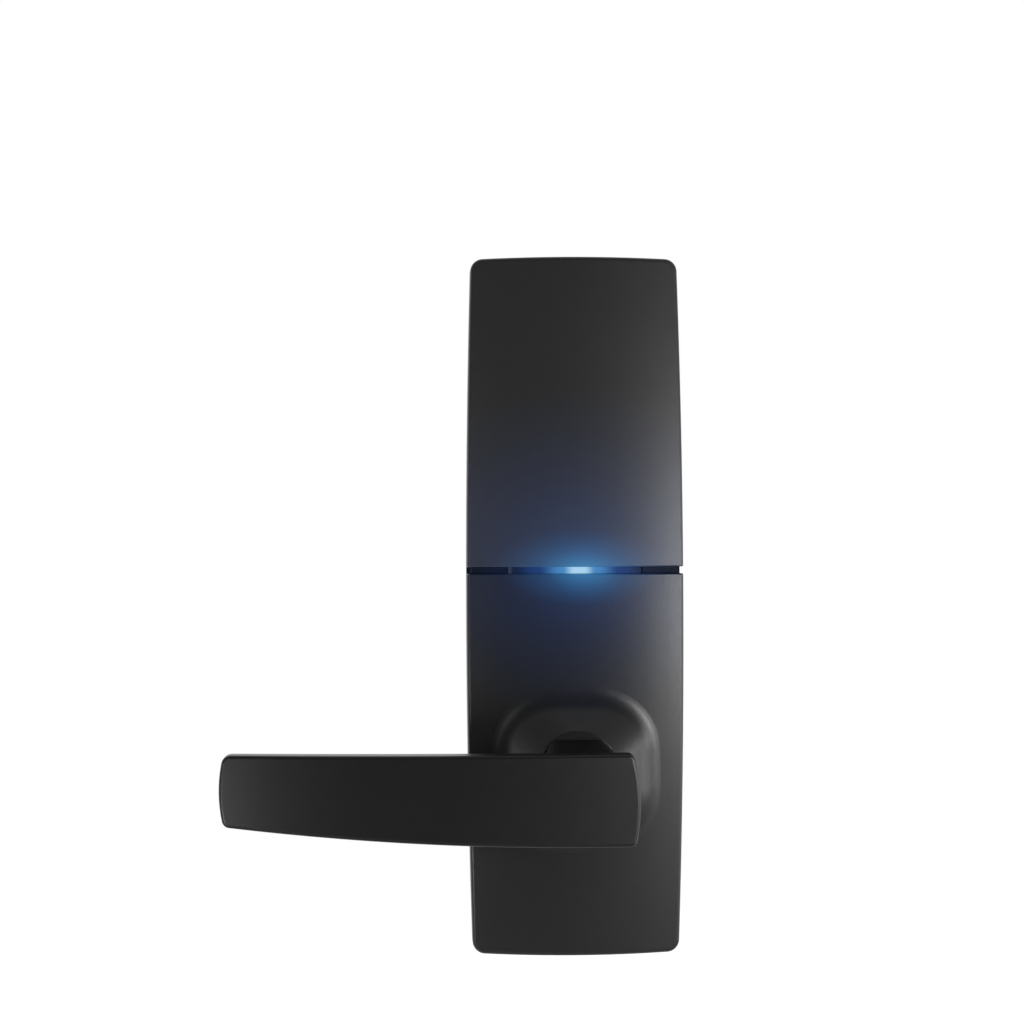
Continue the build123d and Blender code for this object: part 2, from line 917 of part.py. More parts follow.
def return_spring():
    def place(turns):
        angle = math.pi + 2 * math.pi * turns
        flat = turns in (0, coil_turns)
        d = coil_low + coil_pitch * turns
        point = Vector(coil_r * math.cos(angle), -d, coil_r * math.sin(angle))
        rise = 0 if flat else -coil_pitch / (2 * math.pi * coil_r)
        return point, Vector(-math.sin(angle), rise, math.cos(angle)).normalized()

    start, leave = place(0)
    finish, arrive = place(coil_turns)
    outward = Vector(-1, 0, 0)
    corner = start + outward * leg_bend_out - leave * leg_bend_out
    inner = finish - outward * leg_bend_in + arrive * leg_bend_in
    edges = [Line(corner + outward * leg_out, corner)]
    edges += [TangentArc(corner, start, tangent=outward * -1)]
    edges += coil(place, coil_turns)
    edges += [TangentArc(finish, inner, tangent=arrive)]
    edges += [Line(inner, inner - outward * leg_in)]
    return wire_tube(edges, coil_wire, "return_spring")


def clutch_spring():
    low = pin_pocket_floor + pin_spring_wire + 0.02
    high = pin_head_low - pin_spring_wire - 0.02

    def place(turns):
        angle = 2 * math.pi * turns
        flat = turns in (0, pin_spring_turns)
        z = low + (high - low) * turns / pin_spring_turns
        point = Vector(pin_spring_r * math.cos(angle), pin_spring_r * math.sin(angle) - pin_d, z)
        rise = 0 if flat else (high - low) / pin_spring_turns / (2 * math.pi * pin_spring_r)
        return point, Vector(-math.sin(angle), math.cos(angle), rise).normalized()

    return wire_tube(coil(place, pin_spring_turns), pin_spring_wire, "clutch_spring")


blank = case_blank()
hollow = case_hollow()
save(base_housing(), "base_housing")
save(door_gasket(), "door_gasket")
save(upper_cover(blank, hollow), "upper_cover")
save(lower_cover(blank, hollow), "lower_cover")
save(cover_screws(upper_screw_z), "upper_cover_screws")
save(cover_screws(lower_screw_z), "lower_cover_screws")
save(mounting_posts(), "mounting_posts")
save(cable_grommet(), "cable_grommet")
save(light_guide(), "light_guide")
save(led_board(), "led_board")
save(status_led(), "status_led")
save(board(control_bottom, control_top, control_low), "control_board")
save(board(reader_bottom, control_top, reader_low), "reader_board")
save(board_standoffs(), "board_standoffs")
save(board_pillars(), "board_pillars")
save(board_screws(), "board_screws")
save(ferrite_sheet(), "ferrite_sheet")
save(board_chips(), "board_chips")
save(buzzer(), "buzzer")
save(board_connector(), "board_connector")
save(lever_bush(), "lever_bush")
save(lever_shaft(), "lever_shaft")
save(lever_handle(), "lever_handle")
save(grub_screw(), "grub_screw")
save(drive_hub(), "drive_hub")
save(spindle(), "spindle")
save(spindle_pin(), "spindle_pin")
save(hub_circlip(), "hub_circlip")
save(clutch_pin(), "clutch_pin")
save(clutch_pusher(), "clutch_pusher")
save(motor_screw(), "motor_screw")
save(motor_body(), "motor_body")
save(motor_bracket(), "motor_bracket")
save(bracket_screws(), "bracket_screws")
save(return_spring(), "return_spring")
save(clutch_spring(), "clutch_spring")
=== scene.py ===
import math

import bmesh
import bpy
from mathutils import Matrix, Vector


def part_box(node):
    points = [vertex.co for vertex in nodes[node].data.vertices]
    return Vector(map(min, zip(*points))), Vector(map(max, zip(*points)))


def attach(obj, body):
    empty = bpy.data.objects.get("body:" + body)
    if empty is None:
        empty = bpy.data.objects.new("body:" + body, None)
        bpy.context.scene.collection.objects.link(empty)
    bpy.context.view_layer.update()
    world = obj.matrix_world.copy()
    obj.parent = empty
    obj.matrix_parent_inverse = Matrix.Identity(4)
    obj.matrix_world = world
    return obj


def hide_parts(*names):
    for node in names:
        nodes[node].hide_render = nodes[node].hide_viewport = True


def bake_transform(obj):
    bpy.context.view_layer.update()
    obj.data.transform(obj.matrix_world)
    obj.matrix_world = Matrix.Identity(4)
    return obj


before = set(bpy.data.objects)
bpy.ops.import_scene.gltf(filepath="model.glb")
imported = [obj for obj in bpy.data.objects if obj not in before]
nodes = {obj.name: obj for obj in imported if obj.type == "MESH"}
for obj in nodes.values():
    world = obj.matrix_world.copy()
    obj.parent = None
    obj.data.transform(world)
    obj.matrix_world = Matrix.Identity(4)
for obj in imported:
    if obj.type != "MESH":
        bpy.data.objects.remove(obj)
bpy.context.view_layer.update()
scene = bpy.context.scene
mm = 0.001
print("frame loaded:", len(nodes), "nodes")


# small helpers
def hexColour(text):
    # sRGB hex to the linear colour that sockets take
    parts = [int(text[i:i + 2], 16) / 255 for i in (1, 3, 5)]
    return tuple(c / 12.92 if c <= 0.04045 else ((c + 0.055) / 1.055) ** 2.4 for c in parts) + (1.0,)


def addNode(tree, kind, inputs=None, **settings):
    # adds one node, sets its options, then fills or links its sockets
    node = tree.nodes.new(kind)
    for name, value in settings.items():
        setattr(node, name, value)
    for name, value in (inputs or {}).items():
        if isinstance(value, bpy.types.NodeSocket):
            tree.links.new(value, node.inputs[name])
        else:
            node.inputs[name].default_value = value
    return node


def newMaterial(name):
    mat = bpy.data.materials.new(name)
    mat.use_nodes = True
    mat.node_tree.nodes.clear()
    return mat, mat.node_tree


def perMetre(sizeMm):
    # texture scale whose pattern repeats about every sizeMm
    return 1.0 / (sizeMm * mm)


barAt = sum(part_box("light_guide"), Vector()) / 2  # middle of the light bar
black = hexColour("#000000")
# share of the reach where the painted glow has ended, and how far a face must look forward to take it
paintedGlowRules = {"endShare": 0.8, "sideY": 0.1, "frontY": -0.5}


def paintLedGlow(tree, layers):
    # painted glow: emission in the covers' own surfaces that stands in for the bar's light on them, fading
    # with distance from its middle
    place = addNode(tree, "ShaderNodeTexCoord").outputs["Object"]
    total = None
    for layer in layers:
        squeeze = (1.0 / layer["wide"], 0.0, 1.0)  # an oval round the bar
        shift = (-layer["rightMm"] * mm / layer["wide"], 0.0, -barAt.z)
        flat = addNode(tree, "ShaderNodeMapping",
                       {"Vector": place, "Location": shift, "Scale": squeeze}).outputs[0]
        away = addNode(tree, "ShaderNodeVectorMath", {0: flat}, operation="LENGTH").outputs["Value"]
        share = addNode(tree, "ShaderNodeMath", {0: away, 1: layer["reachMm"] * mm},
                        operation="DIVIDE").outputs[0]
        glow = addNode(tree, "ShaderNodeValToRGB", {"Fac": share})
        stops = glow.color_ramp.elements
        stops[0].color = hexColour(layer["stops"][0][1])
        stops[1].color = black
        # a second black stop, so that the smooth ramp ends at nothing
        stops.new(paintedGlowRules["endShare"]).color = black
        for awayMm, text in layer["stops"][1:]:
            stops.new(awayMm / layer["reachMm"]).color = hexColour(text)
        glow.color_ramp.interpolation = "B_SPLINE"
        if total is None:
            total = glow.outputs["Color"]
        else:
            total = addNode(tree, "ShaderNodeMix", {0: 1.0, 6: total, 7: glow.outputs["Color"]},
                            data_type="RGBA", blend_type="ADD").outputs[2]
    facing = addNode(tree, "ShaderNodeSeparateXYZ",
                     {0: addNode(tree, "ShaderNodeNewGeometry").outputs["Normal"]}).outputs["Y"]
    front = addNode(tree, "ShaderNodeMapRange",  # the painted glow goes on front faces only, not sides or the inside
                    {"Value": facing, "From Min": paintedGlowRules["sideY"], "From Max": paintedGlowRules["frontY"],
                     "To Min": 0.0, "To Max": 1.0})
    return addNode(tree, "ShaderNodeMix", {0: front.outputs[0], 6: black, 7: total},
                   data_type="RGBA").outputs[2]


# painted glow on the covers: the bright oval by the emitter, then the wide navy haze; both lean a little to
# the right
paintedGlowAbove = [{"wide": 2.2, "reachMm": 16.0, "rightMm": 2.2,
               "stops": [(0.0, "#26738f"), (3.0, "#1f597f"), (7.0, "#0f3150")]},
              {"wide": 1.2, "reachMm": 72.0, "rightMm": 3.0,
               "stops": [(0.0, "#143c69"), (9.0, "#0f2b51"), (17.7, "#122442"), (31.7, "#0c1530")]}]
paintedGlowBelow = [{"wide": 2.2, "reachMm": 14.0, "rightMm": 2.5,
               "stops": [(0.0, "#256d8d"), (2.6, "#1d5579"), (6.0, "#0d304e")]},
              {"wide": 1.25, "reachMm": 58.0, "rightMm": 4.0,
               "stops": [(0.0, "#133b69"), (6.5, "#0d325b"), (11.0, "#0a2247"), (24.0, "#071430")]}]
paintedGlowGroove = [{"wide": 2.5, "reachMm": 40.0, "rightMm": 0.0,
                "stops": [(0.0, "#1b2f55"), (8.0, "#101d38"), (14.0, "#080e1c")]}]


# what all surfaces share; an edge counts as rubbed from edgeFrom (still flat) to edgeFull (sharp)
surfaceRules = {"patchDetail": 3.0, "gritDetail": 4.0, "gritRough": 0.6, "gritLow": 0.3, "gritHigh": 0.7,
                "bumpShare": 0.25, "edgeMm": 0.5, "edgeSamples": 6, "edgeFrom": 0.98, "edgeFull": 0.80}


def finishSurface(spec):
    # one surface: patchy tone, grit in the gloss, grit as bump, and rubbed edges
    # gritMm is coarser than the real grain (0.05 to 0.15 mm), which would not show at this distance
    rules = surfaceRules
    mat, tree = newMaterial(spec["name"])
    place = addNode(tree, "ShaderNodeTexCoord").outputs["Object"]
    if "stretch" in spec:  # brushed or drawn marks run along one axis
        place = addNode(tree, "ShaderNodeMapping", {"Vector": place, "Scale": spec["stretch"]}).outputs[0]
    patch = addNode(tree, "ShaderNodeTexNoise",
                    {"Vector": place, "Scale": perMetre(spec["patchMm"]), "Detail": rules["patchDetail"]})
    grit = addNode(tree, "ShaderNodeTexNoise",
                   {"Vector": place, "Scale": perMetre(spec["gritMm"]), "Detail": rules["gritDetail"],
                    "Roughness": rules["gritRough"]})
    tone = addNode(tree, "ShaderNodeMix",
                   {0: patch.outputs["Fac"], 6: hexColour(spec["dark"]), 7: hexColour(spec["light"])},
                   data_type="RGBA")
    blunted = addNode(tree, "ShaderNodeBevel", {"Radius": rules["edgeMm"] * mm},
                      samples=rules["edgeSamples"]).outputs[0]
    facing = addNode(tree, "ShaderNodeNewGeometry").outputs["Normal"]
    same = addNode(tree, "ShaderNodeVectorMath", {0: blunted, 1: facing},
                   operation="DOT_PRODUCT").outputs["Value"]
    edge = addNode(tree, "ShaderNodeMapRange",  # where a blunted edge would turn away from the face
                   {"Value": same, "From Min": rules["edgeFrom"], "From Max": rules["edgeFull"],
                    "To Min": 0.0, "To Max": spec["wear"]})
    rubbed = addNode(tree, "ShaderNodeMath", {0: edge.outputs[0], 1: patch.outputs["Fac"]},
                     operation="MULTIPLY")
    colour = addNode(tree, "ShaderNodeMix",
                     {0: rubbed.outputs[0], 6: tone.outputs[2], 7: hexColour(spec["worn"])},
                     data_type="RGBA")
    gloss = addNode(tree, "ShaderNodeMapRange",
                    {"Value": grit.outputs["Fac"],
                     "From Min": rules["gritLow"], "From Max": rules["gritHigh"],
                     "To Min": spec["rough"] - spec["roughSpread"],
                     "To Max": spec["rough"] + spec["roughSpread"]})
    bump = addNode(tree, "ShaderNodeBump",
                   {"Height": grit.outputs["Fac"], "Strength": spec["bump"],
                    "Distance": spec["gritMm"] * mm * rules["bumpShare"]})
    shader = addNode(tree, "ShaderNodeBsdfPrincipled",
                     {"Base Color": colour.outputs[2], "Roughness": gloss.outputs[0],
                      "Normal": bump.outputs[0], "Metallic": spec["metal"]})
    # painted glow of the light bar, put into the surface as emission
    if "paintedGlow" in spec:
        tree.links.new(paintLedGlow(tree, spec["paintedGlow"]), shader.inputs["Emission Color"])
        shader.inputs["Emission Strength"].default_value = 1.0
    if spec["metal"] < 0.5:
        shader.inputs["IOR"].default_value = spec["ior"]
        # below the usual 0.5 on the matt black coats, tuned to the photo
        shader.inputs["Specular IOR Level"].default_value = spec["specular"]
    addNode(tree, "ShaderNodeOutputMaterial", {"Surface": shader.outputs[0]})
    return mat


# polycarbonate-ABS, spark-eroded mould: a dead matt black with a fine even grain
sparkTexturedMoulding = finishSurface({
    "name": "polycarbonateAbsMatt", "dark": "#1d1d1d", "light": "#232323", "worn": "#333436",
    "patchMm": 30.0, "gritMm": 0.8, "rough": 0.355, "roughSpread": 0.03, "bump": 0.06, "wear": 0.35,
    "metal": 0.0, "ior": 1.57, "specular": 0.4,
    "paintedGlow": paintedGlowAbove})

# zinc die casting, powder coated: matt black with a very slight orange peel
powderCoatedZinc = finishSurface({
    "name": "zincPowderCoatedBlack", "dark": "#0a0a0a", "light": "#0f0f0f", "worn": "#303132",
    "patchMm": 26.0, "gritMm": 1.0, "rough": 0.335, "roughSpread": 0.025, "bump": 0.06, "wear": 0.40,
    "metal": 0.0, "ior": 1.52, "specular": 0.43,
    "paintedGlow": paintedGlowBelow})

# the same coat on the lever, with less shine and a slightly lighter tone than the cover's
leverPowderCoat = finishSurface({
    "name": "zincPowderCoatedLever", "dark": "#0d0d0d", "light": "#131313", "worn": "#353637",
    "patchMm": 22.0, "gritMm": 0.9, "rough": 0.34, "roughSpread": 0.03, "bump": 0.05, "wear": 0.45,
    "metal": 0.0, "ior": 1.52, "specular": 0.295})

# glass-filled nylon, moulded: dull black with faint flow marks
filledNylon = finishSurface({
    "name": "nylonGlassFilledMoulded", "dark": "#0e0e0e", "light": "#141414", "worn": "#222324",
    "patchMm": 12.0, "gritMm": 0.9, "rough": 0.58, "roughSpread": 0.08, "bump": 0.18, "wear": 0.25,
    "metal": 0.0, "ior": 1.53, "specular": 0.08,
    "paintedGlow": paintedGlowGroove})

# EPDM foam, die cut: pitted and flat, no gloss
cellRubber = finishSurface({
    "name": "epdmFoamDieCut", "dark": "#18181a", "light": "#232325", "worn": "#2e2e30",
    "patchMm": 9.0, "gritMm": 0.7, "rough": 0.86, "roughSpread": 0.06, "bump": 0.55, "wear": 0.2,
    "metal": 0.0, "ior": 1.50, "specular": 0.25})

# steel, turned and zinc plated: pale blue-grey with soft streaks
zincPlatedSteel = finishSurface({
    "name": "steelZincPlated", "dark": "#9da3a8", "light": "#bcc1c4", "worn": "#d8dadb",
    "patchMm": 4.0, "gritMm": 0.5, "rough": 0.32, "roughSpread": 0.08, "bump": 0.10, "wear": 0.4,
    "metal": 1.0})

# steel, bright drawn: long fine lines along the bar
drawnSteel = finishSurface({
    "name": "steelBrightDrawn", "dark": "#83888c", "light": "#a6aaad", "worn": "#c9cccd",
    "patchMm": 6.0, "gritMm": 0.45, "rough": 0.30, "roughSpread": 0.07, "bump": 0.04, "wear": 0.4,
    "metal": 1.0, "stretch": (1.0, 0.06, 1.0)})

# alloy steel, hardened and black oxided: near black with an oily shine
blackenedSteel = finishSurface({
    "name": "steelBlackOxide", "dark": "#1d1e20", "light": "#2a2b2d", "worn": "#77797c",
    "patchMm": 2.0, "gritMm": 0.3, "rough": 0.36, "roughSpread": 0.07, "bump": 0.10, "wear": 0.5,
    "metal": 1.0})

# music wire, drawn and oiled: dark grey with a soft shine
oiledWire = finishSurface({
    "name": "springSteelOiled", "dark": "#4c4f52", "light": "#6a6d70", "worn": "#8d9093",
    "patchMm": 3.0, "gritMm": 0.4, "rough": 0.34, "roughSpread": 0.06, "bump": 0.08, "wear": 0.3,
    "metal": 1.0})

# bearing bronze, sintered: brown-gold with open pores
sinteredBronze = finishSurface({
    "name": "bronzeSintered", "dark": "#8a6a3a", "light": "#a98449", "worn": "#c7a468",
    "patchMm": 4.0, "gritMm": 0.4, "rough": 0.45, "roughSpread": 0.10, "bump": 0.25, "wear": 0.4,
    "metal": 1.0})

# FR4 laminate, solder masked: dark green, glossy, weave just showing
solderMask = finishSurface({
    "name": "fr4SolderMasked", "dark": "#0d3222", "light": "#13432d", "worn": "#6d6a3a",
    "patchMm": 7.0, "gritMm": 0.6, "rough": 0.28, "roughSpread": 0.06, "bump": 0.10, "wear": 0.5,
    "metal": 0.0, "ior": 1.55, "specular": 0.5})

# epoxy compound, transfer moulded: charcoal, slightly rough
mouldedEpoxy = finishSurface({
    "name": "epoxyTransferMoulded", "dark": "#1c1c1e", "light": "#262628", "worn": "#3d3d3f",
    "patchMm": 3.0, "gritMm": 0.4, "rough": 0.55, "roughSpread": 0.06, "bump": 0.2, "wear": 0.2,
    "metal": 0.0, "ior": 1.55, "specular": 0.4})

# ferrite loaded sheet: soot grey and powdery
ferriteSheet = finishSurface({
    "name": "ferriteLoadedSheet", "dark": "#2a2a2b", "light": "#363637", "worn": "#4a4a4b",
    "patchMm": 5.0, "gritMm": 0.5, "rough": 0.72, "roughSpread": 0.06, "bump": 0.25, "wear": 0.2,
    "metal": 0.0, "ior": 1.6, "specular": 0.4})

# acetal, moulded: milk white with a waxy shine
mouldedAcetal = finishSurface({
    "name": "acetalMoulded", "dark": "#d8d6cf", "light": "#e6e4de", "worn": "#efede8",
    "patchMm": 8.0, "gritMm": 0.6, "rough": 0.40, "roughSpread": 0.06, "bump": 0.08, "wear": 0.2,
    "metal": 0.0, "ior": 1.48, "specular": 0.5})

# nylon connector shell, moulded: cream and satin
mouldedNylon = finishSurface({
    "name": "nylonMouldedCream", "dark": "#cfc9b8", "light": "#dcd7c8", "worn": "#e7e3d8",
    "patchMm": 6.0, "gritMm": 0.5, "rough": 0.48, "roughSpread": 0.06, "bump": 0.10, "wear": 0.2,
    "metal": 0.0, "ior": 1.53, "specular": 0.5})

# deep drawn motor can: bright nickel with draw lines
drawnCan = finishSurface({
    "name": "steelNickelDrawn", "dark": "#a9a59b", "light": "#c3bfb5", "worn": "#dcd9d1",
    "patchMm": 5.0, "gritMm": 0.45, "rough": 0.26, "roughSpread": 0.06, "bump": 0.08, "wear": 0.3,
    "metal": 1.0, "stretch": (1.0, 1.0, 0.08)})
print("surfaces made")


# light bar: frosted polycarbonate with the emitter behind its middle
lightBar = {"stops": [(1.6, "#a6d0ec"), (5.8, "#4584bd"), (14.0, "#1d3a72"), (23.0, "#0d1d3a")],
            "halfMm": 23.0, "coreRightMm": 1.2, "strength": 1.0,
            "endMm": 1.3, "endGlow": 0.10, "paintedEndSpeck": "#9aa7b8",
            "base": "#04070d", "ior": 1.585, "specular": 0.08,  # frosting breaks up what it mirrors
            "grainMm": 0.6, "grainDetail": 3.0, "rough": (0.30, 0.45), "bump": 0.12, "bumpMm": 0.1}


def makeLightBar(spec):
    mat, tree = newMaterial("polycarbonateFrosted")  # cloudy, so the light spreads along it and fades
    place = addNode(tree, "ShaderNodeSeparateXYZ",
                    {0: addNode(tree, "ShaderNodeTexCoord").outputs["Object"]}).outputs[0]
    aside = addNode(tree, "ShaderNodeMath", {0: place, 1: spec["coreRightMm"] * mm},
                    operation="SUBTRACT")
    away = addNode(tree, "ShaderNodeMath", {0: aside.outputs[0]}, operation="ABSOLUTE").outputs[0]
    share = addNode(tree, "ShaderNodeMath", {0: away, 1: spec["halfMm"] * mm},
                    operation="DIVIDE").outputs[0]
    glow = addNode(tree, "ShaderNodeValToRGB", {"Fac": share})
    ramp = glow.color_ramp
    ramp.interpolation = "EASE"
    stops = spec["stops"]
    ramp.elements[0].position = stops[0][0] / spec["halfMm"]
    ramp.elements[0].color = hexColour(stops[0][1])
    ramp.elements[1].color = hexColour(stops[-1][1])
    for awayMm, text in stops[1:-1]:
        ramp.elements.new(awayMm / spec["halfMm"]).color = hexColour(text)
    left = addNode(tree, "ShaderNodeMapRange",  # a pale speck at the left end: partly the bar's light leaking out at its end, partly a painted highlight where the end catches the lamps
                   {"Value": place, "From Min": -(spec["halfMm"] - spec["endMm"]) * mm,
                    "From Max": -spec["halfMm"] * mm, "To Min": 0.0, "To Max": spec["endGlow"]})
    paintedEndSpeck = addNode(tree, "ShaderNodeMix",
                    {0: left.outputs[0], 6: glow.outputs["Color"], 7: hexColour(spec["paintedEndSpeck"])},
                    data_type="RGBA")
    grain = addNode(tree, "ShaderNodeTexNoise",
                    {"Scale": perMetre(spec["grainMm"]), "Detail": spec["grainDetail"]})
    rough = addNode(tree, "ShaderNodeMapRange",
                    {"Value": grain.outputs["Fac"], "To Min": spec["rough"][0], "To Max": spec["rough"][1]})
    bump = addNode(tree, "ShaderNodeBump",
                   {"Height": grain.outputs["Fac"], "Strength": spec["bump"],
                    "Distance": spec["bumpMm"] * mm})
    shader = addNode(tree, "ShaderNodeBsdfPrincipled",
                     {"Base Color": hexColour(spec["base"]), "Roughness": rough.outputs[0],
                      "IOR": spec["ior"], "Specular IOR Level": spec["specular"],
                      "Normal": bump.outputs[0], "Emission Color": paintedEndSpeck.outputs[2],
                      "Emission Strength": spec["strength"]})
    addNode(tree, "ShaderNodeOutputMaterial", {"Surface": shader.outputs[0]})
    return mat


# emitter: silicone over phosphor, cast: milky and lit from inside
emitterSpec = {"dark": "#8fcdf5", "light": "#c9e8fb", "grainMm": 0.5, "grainDetail": 2.0,
               "rough": 0.4, "ior": 1.41, "strength": 3.0}


def makeEmitter(spec):
    mat, tree = newMaterial("siliconeCastLit")
    grain = addNode(tree, "ShaderNodeTexNoise",
                    {"Scale": perMetre(spec["grainMm"]), "Detail": spec["grainDetail"]})
    tone = addNode(tree, "ShaderNodeMix",
                   {0: grain.outputs["Fac"], 6: hexColour(spec["dark"]), 7: hexColour(spec["light"])},
                   data_type="RGBA")
    shader = addNode(tree, "ShaderNodeBsdfPrincipled",
                     {"Base Color": tone.outputs[2], "Roughness": spec["rough"], "IOR": spec["ior"],
                      "Emission Color": tone.outputs[2], "Emission Strength": spec["strength"]})
    addNode(tree, "ShaderNodeOutputMaterial", {"Surface": shader.outputs[0]})
    return mat


frostedBar = makeLightBar(lightBar)
litEmitter = makeEmitter(emitterSpec)

coats = {
    sparkTexturedMoulding: ["upper_cover"],
    powderCoatedZinc: ["lower_cover"],
    leverPowderCoat: ["lever_handle"],
    filledNylon: ["base_housing"],
    cellRubber: ["door_gasket", "cable_grommet"],
    zincPlatedSteel: ["mounting_posts", "upper_cover_screws", "lower_cover_screws", "board_screws",
                      "bracket_screws"],
    drawnSteel: ["spindle", "lever_shaft", "drive_hub", "spindle_pin", "grub_screw", "clutch_pin",
                 "motor_screw", "motor_bracket", "board_standoffs", "board_pillars"],
    oiledWire: ["return_spring", "clutch_spring", "hub_circlip"],
    sinteredBronze: ["lever_bush"],
    solderMask: ["control_board", "reader_board", "led_board"],
    mouldedEpoxy: ["board_chips", "buzzer"],
    ferriteSheet: ["ferrite_sheet"],
    mouldedAcetal: ["clutch_pusher"],
    mouldedNylon: ["board_connector"],
    drawnCan: ["motor_body"],
    frostedBar: ["light_guide"],
    litEmitter: ["status_led"],
}
for coat, names in coats.items():
    for name in names:
        nodes[name].data.materials.clear()
        nodes[name].data.materials.append(coat)
print("surfaces given to", sum(len(names) for names in coats.values()), "nodes")


# fixings that show: turned blanks, with a driving socket or a cut thread
def joinRings(mesh, rings):
    for low, high in zip(rings, rings[1:]):
        for i in range(len(low)):
            mesh.faces.new((low[i - 1], low[i], high[i], high[i - 1]))


def turnRows(mesh, turn, rows, steps):
    # one skin from rings, each a height and a radius for every step round it
    rings = []
    for height, radii in rows:
        ring = []
        for i, radius in enumerate(radii):
            angle = 2 * math.pi * i / steps
            spot = Vector((radius * math.cos(angle), radius * math.sin(angle), height)) * mm
            ring.append(mesh.verts.new(turn @ spot))
        rings.append(ring)
    joinRings(mesh, rings)
    return rings


def ringEdges(mesh, ring):
    return [mesh.edges.get((ring[i - 1], ring[i])) or mesh.edges.new((ring[i - 1], ring[i]))
            for i in range(len(ring))]


def addScrew(mesh, turn, spec):
    # blank first, then the socket walls, then the flat between socket and rim
    steps = spec["steps"]
    rows = [(height, [radius] * steps) for radius, height in spec["profile"]]
    rings = turnRows(mesh, turn, rows, steps)
    mesh.faces.new(rings[-1])
    levels = []
    for share, height in spec["socket"]:
        levels.append([mesh.verts.new(turn @ (Vector((x * share, y * share, height)) * mm))
                       for x, y in spec["outline"]])
    joinRings(mesh, levels)
    mesh.faces.new(levels[-1])
    bmesh.ops.triangle_fill(mesh, use_beauty=True, use_dissolve=False,
                            edges=ringEdges(mesh, rings[0]) + ringEdges(mesh, levels[0]))


def addPost(mesh, turn, spec):
    # bore from its drill point up to the mouth, then the end, the outside and the flange
    steps = spec["steps"]
    rows = [(-spec["boreDeep"] - spec["drillPoint"], [spec["tipR"]] * steps),
            (-spec["boreDeep"], [spec["boreR"]] * steps)]
    count = round(spec["threadDeep"] / spec["pitch"] * spec["rowsPerTurn"])
    for k in range(count + 1):
        height = -spec["threadDeep"] + spec["threadDeep"] * k / count
        fade = min(1.0, k / spec["rowsPerTurn"])  # the tap runs out over the last turn
        flare = spec["boreR"] + max(0.0, spec["leadIn"] + height)
        radii = []
        for i in range(steps):
            phase = (height / spec["pitch"] + i / steps) % 1.0
            groove = spec["threadHigh"] * fade * (1.0 - abs(2.0 * phase - 1.0))
            radii.append(max(spec["boreR"] + groove, flare))
        rows.append((height, radii))
    for radius, height in spec["outside"]:
        rows.append((height, [radius] * steps))
    rings = turnRows(mesh, turn, rows, steps)
    mesh.faces.new(rings[0])
    mesh.faces.new(rings[-1])


sharpDegrees = 35  # edges that turn more than this stay crisp


def asPiece(name, mesh, coat, node):
    bmesh.ops.recalc_face_normals(mesh, faces=mesh.faces)
    data = bpy.data.meshes.new(name)
    mesh.to_mesh(data)
    mesh.free()
    data.shade_smooth()
    data.set_sharp_from_angle(angle=math.radians(sharpDegrees))
    data.materials.append(coat)
    piece = bpy.data.objects.new(name, data)
    scene.collection.objects.link(piece)
    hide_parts(node)
    return piece


def crossOutline(reach, half):
    # plus sign, counter-clockwise
    corners = []
    for alongX, alongY in ((1, 0), (0, 1), (-1, 0), (0, -1)):
        for x, y in ((reach, -half), (reach, half), (half, half)):
            corners.append((x * alongX - y * alongY, x * alongY + y * alongX))
    return corners


def hexOutline(flats):
    radius = flats / math.sqrt(3)
    angles = [math.pi / 3 * k for k in range(6)]
    return [(radius * math.cos(angle), radius * math.sin(angle)) for angle in angles]


# cover screw: low pan head with a cross socket; its shank is out of sight in the boss, so it stays plain
coverScrew = {"headR": 2.8, "steps": 32, "outline": crossOutline(1.5, 0.4),
              "socket": [(1.0, 0.0), (0.62, -1.0)],
              "profile": [(2.2, 0.0), (2.6, -0.12), (2.78, -0.38), (2.8, -0.6), (2.8, -1.2), (1.5, -1.2),
                          (1.5, -11.2), (1.0, -11.7)]}
towardDoor = Matrix.Rotation(-math.pi / 2, 4, "X")  # local up becomes +Y, toward the door
for node in ("upper_cover_screws", "lower_cover_screws"):
    low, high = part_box(node)
    inset = coverScrew["headR"] * mm
    mesh = bmesh.new()
    for x in (low.x + inset, high.x - inset):
        for z in (low.z + inset, high.z - inset):
            addScrew(mesh, Matrix.Translation((x, high.y, z)) @ towardDoor, coverScrew)
    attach(asPiece(node + "_crossHead", mesh, zincPlatedSteel, node), "case")

# grub screw: hex socket, seen from below the lever
grubScrew = {"steps": 24, "outline": hexOutline(2.0), "socket": [(1.0, 0.0), (1.0, -1.5), (0.3, -1.8)],
             "profile": [(1.65, 0.0), (2.0, -0.35), (2.0, -2.3), (1.7, -2.6)]}
low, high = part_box("grub_screw")
mesh = bmesh.new()
addScrew(mesh, Matrix.Translation(((low.x + high.x) / 2, (low.y + high.y) / 2, low.z))
         @ Matrix.Rotation(math.pi, 4, "X"), grubScrew)
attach(asPiece("grub_screw_hexSocket", mesh, blackenedSteel, "grub_screw"), "lever")

# mounting posts: M5 thread tapped into each mouth
mountingPost = {"flangeR": 6.0, "steps": 24, "boreR": 2.1, "boreDeep": 24.0, "drillPoint": 1.2,
                "tipR": 0.05, "threadDeep": 12.0, "pitch": 0.8, "threadHigh": 0.42, "rowsPerTurn": 6,
                "leadIn": 0.45,
                "outside": [(3.7, 0.0), (4.0, -0.3), (4.0, -36.0), (6.0, -36.0), (6.0, -37.8),
                            (5.8, -38.0)]}
low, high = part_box("mounting_posts")
mesh = bmesh.new()
for z in (low.z + mountingPost["flangeR"] * mm, high.z - mountingPost["flangeR"] * mm):
    addPost(mesh, Matrix.Translation(((low.x + high.x) / 2, high.y, z)) @ towardDoor, mountingPost)
piece = asPiece("mounting_posts_threaded", mesh, zincPlatedSteel, "mounting_posts")
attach(piece, "case")
print("fixings made")
